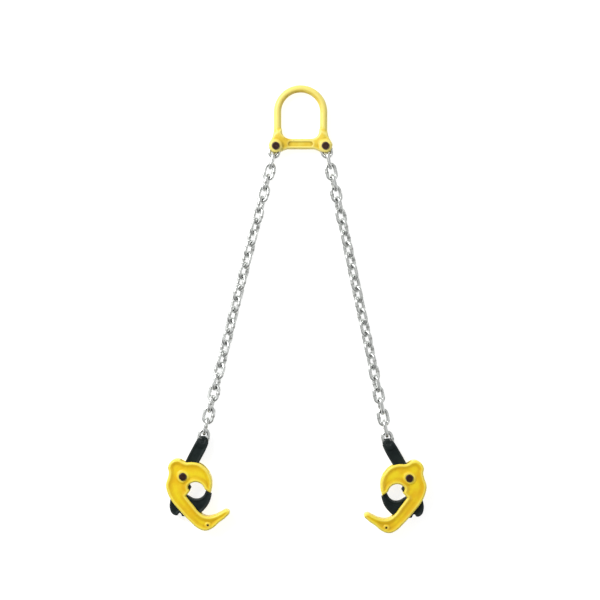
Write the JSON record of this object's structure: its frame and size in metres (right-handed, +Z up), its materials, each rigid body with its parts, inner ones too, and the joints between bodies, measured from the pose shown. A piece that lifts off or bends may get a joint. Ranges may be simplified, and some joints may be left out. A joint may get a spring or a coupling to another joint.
{
  "type": "drum lifting clamp",
  "caption": "Two-leg chain sling with a master link and, on each leg, a slotted claw and cam lever that close on the rim of a drum.",
  "frame": {"origin": "centre of the footprint, on the surface that the clamp lies on", "axes": "+Y from the clamps to the master link, +Z up from the surface, +X across, to the right leg"},
  "size_m": [0.4172, 0.7182, 0.0283],
  "materials": {
    "yellow_paint": "gloss paint over forged steel",
    "black_lever": "satin black oxide and paint over forged steel",
    "zinc_chain": "bright zinc-plated steel",
    "dark_pin": "dark phosphated steel"
  },
  "bodies": {
    "master_link": {"master_link": "yellow_paint", "left_load_pin": "dark_pin", "right_load_pin": "dark_pin"},
    "left_claw_body": {"left_claw_body": "yellow_paint", "left_pivot_pin": "dark_pin"},
    "left_link_01": {"left_link_01": "zinc_chain"},
    "left_cam_lever": {"left_cam_lever": "black_lever"},
    "left_link_02": {"left_link_02": "zinc_chain"},
    "left_link_03": {"left_link_03": "zinc_chain"},
    "left_link_04": {"left_link_04": "zinc_chain"},
    "left_link_05": {"left_link_05": "zinc_chain"},
    "left_link_06": {"left_link_06": "zinc_chain"},
    "left_link_07": {"left_link_07": "zinc_chain"},
    "left_link_08": {"left_link_08": "zinc_chain"},
    "left_links_09_10": {"left_links_09_10": "zinc_chain"},
    "left_link_11": {"left_link_11": "zinc_chain"},
    "left_link_12": {"left_link_12": "zinc_chain"},
    "left_link_13": {"left_link_13": "zinc_chain"},
    "left_link_14": {"left_link_14": "zinc_chain"},
    "left_link_15": {"left_link_15": "zinc_chain"},
    "left_link_16": {"left_link_16": "zinc_chain"},
    "left_link_17": {"left_link_17": "zinc_chain"},
    "left_links_18_19": {"left_links_18_19": "zinc_chain"},
    "left_link_20": {"left_link_20": "zinc_chain"},
    "left_link_21": {"left_link_21": "zinc_chain"},
    "left_link_22": {"left_link_22": "zinc_chain"},
    "left_link_23": {"left_link_23": "zinc_chain"},
    "left_link_24": {"left_link_24": "zinc_chain"},
    "left_link_25": {"left_link_25": "zinc_chain"},
    "left_link_26": {"left_link_26": "zinc_chain"},
    "left_link_27": {"left_link_27": "zinc_chain"},
    "right_claw_body": {"right_claw_body": "yellow_paint", "right_pivot_pin": "dark_pin"},
    "right_link_01": {"right_link_01": "zinc_chain"},
    "right_cam_lever": {"right_cam_lever": "black_lever"},
    "right_link_02": {"right_link_02": "zinc_chain"},
    "right_link_03": {"right_link_03": "zinc_chain"},
    "right_link_04": {"right_link_04": "zinc_chain"},
    "right_link_05": {"right_link_05": "zinc_chain"},
    "right_link_06": {"right_link_06": "zinc_chain"},
    "right_link_07": {"right_link_07": "zinc_chain"},
    "right_link_08": {"right_link_08": "zinc_chain"},
    "right_links_09_10": {"right_links_09_10": "zinc_chain"},
    "right_link_11": {"right_link_11": "zinc_chain"},
    "right_link_12": {"right_link_12": "zinc_chain"},
    "right_link_13": {"right_link_13": "zinc_chain"},
    "right_link_14": {"right_link_14": "zinc_chain"},
    "right_link_15": {"right_link_15": "zinc_chain"},
    "right_link_16": {"right_link_16": "zinc_chain"},
    "right_link_17": {"right_link_17": "zinc_chain"},
    "right_links_18_19": {"right_links_18_19": "zinc_chain"},
    "right_link_20": {"right_link_20": "zinc_chain"},
    "right_link_21": {"right_link_21": "zinc_chain"},
    "right_link_22": {"right_link_22": "zinc_chain"},
    "right_link_23": {"right_link_23": "zinc_chain"},
    "right_link_24": {"right_link_24": "zinc_chain"},
    "right_link_25": {"right_link_25": "zinc_chain"},
    "right_link_26": {"right_link_26": "zinc_chain"},
    "right_link_27": {"right_link_27": "zinc_chain"}
  },
  "joints": [
    {"name": "left_leg_swing", "type": "hinge", "parent": "master_link", "child": "left_link_01", "pos_m": [-0.03447, 0.26165, 0.0105], "axis": [0, 0, 1], "range_deg": [-40, 14]},
    {"name": "right_leg_swing", "type": "hinge", "parent": "master_link", "child": "right_link_01", "pos_m": [0.04533, 0.26165, 0.0105], "axis": [0, 0, 1], "range_deg": [-12, 40]},
    {"name": "left_jaw_open", "type": "hinge", "parent": "left_cam_lever", "child": "left_claw_body", "pos_m": [-0.1828, -0.2676, 0.013], "axis": [0, 0, 1], "range_deg": [0, 22]},
    {"name": "right_jaw_open", "type": "hinge", "parent": "right_cam_lever", "child": "right_claw_body", "pos_m": [0.17934, -0.27013, 0.013], "axis": [0, 0, -1], "range_deg": [0, 22]},
    {"name": "left_lever_swing", "type": "hinge", "parent": "left_link_27", "child": "left_cam_lever", "pos_m": [-0.1519, -0.2111, 0.013], "axis": [0, 0, 1], "range_deg": [-30, 30]},
    {"name": "right_lever_swing", "type": "hinge", "parent": "right_link_27", "child": "right_cam_lever", "pos_m": [0.14619, -0.21491, 0.013], "axis": [0, 0, 1], "range_deg": [-30, 30]},
    {"name": "left_link_02_sway", "type": "hinge", "parent": "left_link_01", "child": "left_link_02", "pos_m": [-0.03737, 0.25061, 0.0105], "axis": [-0.0001, -0.0003, 1], "range_deg": [-14, 14]},
    {"name": "left_link_04_sway", "type": "hinge", "parent": "left_link_03", "child": "left_link_04", "pos_m": [-0.04667, 0.21496, 0.01042], "axis": [0.0019, 0.0071, -1], "range_deg": [-14, 14]},
    {"name": "left_link_06_sway", "type": "hinge", "parent": "left_link_05", "child": "left_link_06", "pos_m": [-0.05603, 0.17878, 0.00999], "axis": [0.0042, 0.0163, -0.9999], "range_deg": [-14, 14]},
    {"name": "left_link_08_sway", "type": "hinge", "parent": "left_link_07", "child": "left_link_08", "pos_m": [-0.06542, 0.14215, 0.0092], "axis": [-0.0063, -0.0247, 0.9997], "range_deg": [-14, 14]},
    {"name": "left_link_12_sway", "type": "hinge", "parent": "left_link_11", "child": "left_link_12", "pos_m": [-0.08367, 0.07012, 0.00839], "axis": [0, 0, 1], "range_deg": [-14, 14]},
    {"name": "left_link_14_sway", "type": "hinge", "parent": "left_link_13", "child": "left_link_14", "pos_m": [-0.09255, 0.03457, 0.00839], "axis": [0, 0, -1], "range_deg": [-14, 14]},
    {"name": "left_link_16_sway", "type": "hinge", "parent": "left_link_15", "child": "left_link_16", "pos_m": [-0.10137, -0.00099, 0.00839], "axis": [0, 0, -1], "range_deg": [-14, 14]},
    {"name": "left_link_18_sway", "type": "hinge", "parent": "left_link_17", "child": "left_links_18_19", "pos_m": [-0.11011, -0.03657, 0.00839], "axis": [0, 0, 1], "range_deg": [-14, 14]},
    {"name": "left_link_20_sway", "type": "hinge", "parent": "left_links_18_19", "child": "left_link_20", "pos_m": [-0.1187, -0.07183, 0.00877], "axis": [0.0075, 0.0311, 0.9995], "range_deg": [-14, 14]},
    {"name": "left_link_22_sway", "type": "hinge", "parent": "left_link_21", "child": "left_link_22", "pos_m": [-0.12698, -0.10613, 0.01032], "axis": [-0.0105, -0.0435, -0.999], "range_deg": [-14, 14]},
    {"name": "left_link_24_sway", "type": "hinge", "parent": "left_link_23", "child": "left_link_24", "pos_m": [-0.13528, -0.14077, 0.01183], "axis": [-0.0083, -0.0347, -0.9994], "range_deg": [-14, 14]},
    {"name": "left_link_26_sway", "type": "hinge", "parent": "left_link_25", "child": "left_link_26", "pos_m": [-0.14363, -0.17596, 0.01284], "axis": [0.0031, 0.0131, 0.9999], "range_deg": [-14, 14]},
    {"name": "right_link_02_sway", "type": "hinge", "parent": "right_link_01", "child": "right_link_02", "pos_m": [0.04784, 0.25051, 0.0105], "axis": [-0.0001, 0.0003, -1], "range_deg": [-14, 14]},
    {"name": "right_link_04_sway", "type": "hinge", "parent": "right_link_03", "child": "right_link_04", "pos_m": [0.0559, 0.21457, 0.01042], "axis": [0.0016, -0.0072, 1], "range_deg": [-14, 14]},
    {"name": "right_link_06_sway", "type": "hinge", "parent": "right_link_05", "child": "right_link_06", "pos_m": [0.06399, 0.17807, 0.00999], "axis": [0.0036, -0.0164, 0.9999], "range_deg": [-14, 14]},
    {"name": "right_link_08_sway", "type": "hinge", "parent": "right_link_07", "child": "right_link_08", "pos_m": [0.0721, 0.14114, 0.0092], "axis": [-0.0054, 0.0249, -0.9997], "range_deg": [-14, 14]},
    {"name": "right_link_12_sway", "type": "hinge", "parent": "right_link_11", "child": "right_link_12", "pos_m": [0.08782, 0.06852, 0.00839], "axis": [0, 0, -1], "range_deg": [-14, 14]},
    {"name": "right_link_14_sway", "type": "hinge", "parent": "right_link_13", "child": "right_link_14", "pos_m": [0.09546, 0.03268, 0.00839], "axis": [0, 0, 1], "range_deg": [-14, 14]},
    {"name": "right_link_16_sway", "type": "hinge", "parent": "right_link_15", "child": "right_link_16", "pos_m": [0.10303, -0.00316, 0.00839], "axis": [0, 0, 1], "range_deg": [-14, 14]},
    {"name": "right_link_18_sway", "type": "hinge", "parent": "right_link_17", "child": "right_links_18_19", "pos_m": [0.11052, -0.03903, 0.00839], "axis": [0, 0, -1], "range_deg": [-14, 14]},
    {"name": "right_link_20_sway", "type": "hinge", "parent": "right_links_18_19", "child": "right_link_20", "pos_m": [0.11788, -0.07456, 0.00877], "axis": [0.0064, -0.0313, -0.9995], "range_deg": [-14, 14]},
    {"name": "right_link_22_sway", "type": "hinge", "parent": "right_link_21", "child": "right_link_22", "pos_m": [0.12496, -0.10913, 0.01032], "axis": [-0.0089, 0.0438, 0.999], "range_deg": [-14, 14]},
    {"name": "right_link_24_sway", "type": "hinge", "parent": "right_link_23", "child": "right_link_24", "pos_m": [0.13204, -0.14405, 0.01183], "axis": [-0.007, 0.0349, 0.9994], "range_deg": [-14, 14]},
    {"name": "right_link_26_sway", "type": "hinge", "parent": "right_link_25", "child": "right_link_26", "pos_m": [0.13916, -0.1795, 0.01284], "axis": [0.0026, -0.0132, -0.9999], "range_deg": [-14, 14]},
    {"name": "left_link_03_nod", "type": "hinge", "parent": "left_link_02", "child": "left_link_03", "pos_m": [-0.04201, 0.23284, 0.0105], "axis": [-0.9676, 0.2523, 0], "range_deg": [-14, 14]},
    {"name": "left_link_05_nod", "type": "hinge", "parent": "left_link_04", "child": "left_link_05", "pos_m": [-0.05134, 0.19694, 0.01025], "axis": [0.9682, -0.2503, 0], "range_deg": [-14, 14]},
    {"name": "left_link_07_nod", "type": "hinge", "parent": "left_link_06", "child": "left_link_07", "pos_m": [-0.06073, 0.16051, 0.00964], "axis": [0.9687, -0.2484, 0], "range_deg": [-14, 14]},
    {"name": "left_link_09_nod", "type": "hinge", "parent": "left_link_08", "child": "left_links_09_10", "pos_m": [-0.07011, 0.12374, 0.00868], "axis": [-0.9692, 0.2464, 0], "range_deg": [-14, 14]},
    {"name": "left_link_11_nod", "type": "hinge", "parent": "left_links_09_10", "child": "left_link_11", "pos_m": [-0.0792, 0.08789, 0.00839], "axis": [-0.9697, 0.2445, 0], "range_deg": [-14, 14]},
    {"name": "left_link_13_nod", "type": "hinge", "parent": "left_link_12", "child": "left_link_13", "pos_m": [-0.08812, 0.05235, 0.00839], "axis": [0.9701, -0.2425, 0], "range_deg": [-14, 14]},
    {"name": "left_link_15_nod", "type": "hinge", "parent": "left_link_14", "child": "left_link_15", "pos_m": [-0.09697, 0.01679, 0.00839], "axis": [0.9706, -0.2406, 0], "range_deg": [-14, 14]},
    {"name": "left_link_17_nod", "type": "hinge", "parent": "left_link_16", "child": "left_link_17", "pos_m": [-0.10575, -0.01878, 0.00839], "axis": [-0.9711, 0.2386, 0], "range_deg": [-14, 14]},
    {"name": "left_link_21_nod", "type": "hinge", "parent": "left_link_20", "child": "left_link_21", "pos_m": [-0.12284, -0.08895, 0.00952], "axis": [-0.9721, 0.2347, 0], "range_deg": [-14, 14]},
    {"name": "left_link_23_nod", "type": "hinge", "parent": "left_link_22", "child": "left_link_23", "pos_m": [-0.13113, -0.1234, 0.01111], "axis": [0.9725, -0.2328, 0], "range_deg": [-14, 14]},
    {"name": "left_link_25_nod", "type": "hinge", "parent": "left_link_24", "child": "left_link_25", "pos_m": [-0.13945, -0.15829, 0.01243], "axis": [0.973, -0.2308, 0], "range_deg": [-14, 14]},
    {"name": "left_link_27_nod", "type": "hinge", "parent": "left_link_26", "child": "left_link_27", "pos_m": [-0.14783, -0.19375, 0.01299], "axis": [-0.9735, 0.2288, 0], "range_deg": [-14, 14]},
    {"name": "right_link_03_nod", "type": "hinge", "parent": "right_link_02", "child": "right_link_03", "pos_m": [0.05187, 0.2326, 0.0105], "axis": [-0.9759, -0.2184, 0], "range_deg": [-14, 14]},
    {"name": "right_link_05_nod", "type": "hinge", "parent": "right_link_04", "child": "right_link_05", "pos_m": [0.05994, 0.19639, 0.01025], "axis": [0.9763, 0.2164, 0], "range_deg": [-14, 14]},
    {"name": "right_link_07_nod", "type": "hinge", "parent": "right_link_06", "child": "right_link_07", "pos_m": [0.06805, 0.15965, 0.00964], "axis": [0.9767, 0.2144, 0], "range_deg": [-14, 14]},
    {"name": "right_link_09_nod", "type": "hinge", "parent": "right_link_08", "child": "right_links_09_10", "pos_m": [0.07615, 0.12258, 0.00868], "axis": [-0.9772, -0.2125, 0], "range_deg": [-14, 14]},
    {"name": "right_link_11_nod", "type": "hinge", "parent": "right_links_09_10", "child": "right_link_11", "pos_m": [0.08397, 0.08643, 0.00839], "axis": [-0.9776, -0.2105, 0], "range_deg": [-14, 14]},
    {"name": "right_link_13_nod", "type": "hinge", "parent": "right_link_12", "child": "right_link_13", "pos_m": [0.09165, 0.0506, 0.00839], "axis": [0.978, 0.2085, 0], "range_deg": [-14, 14]},
    {"name": "right_link_15_nod", "type": "hinge", "parent": "right_link_14", "child": "right_link_15", "pos_m": [0.09925, 0.01476, 0.00839], "axis": [0.9784, 0.2066, 0], "range_deg": [-14, 14]},
    {"name": "right_link_17_nod", "type": "hinge", "parent": "right_link_16", "child": "right_link_17", "pos_m": [0.10678, -0.02109, 0.00839], "axis": [-0.9788, -0.2046, 0], "range_deg": [-14, 14]},
    {"name": "right_link_21_nod", "type": "hinge", "parent": "right_link_20", "child": "right_link_21", "pos_m": [0.12142, -0.09182, 0.00952], "axis": [-0.9797, -0.2007, 0], "range_deg": [-14, 14]},
    {"name": "right_link_23_nod", "type": "hinge", "parent": "right_link_22", "child": "right_link_23", "pos_m": [0.1285, -0.12653, 0.01111], "axis": [0.9801, 0.1987, 0], "range_deg": [-14, 14]},
    {"name": "right_link_25_nod", "type": "hinge", "parent": "right_link_24", "child": "right_link_25", "pos_m": [0.13559, -0.1617, 0.01243], "axis": [0.9805, 0.1967, 0], "range_deg": [-14, 14]},
    {"name": "right_link_27_nod", "type": "hinge", "parent": "right_link_26", "child": "right_link_27", "pos_m": [0.14273, -0.19743, 0.01299], "axis": [-0.9809, -0.1947, 0], "range_deg": [-14, 14]}
  ]
}
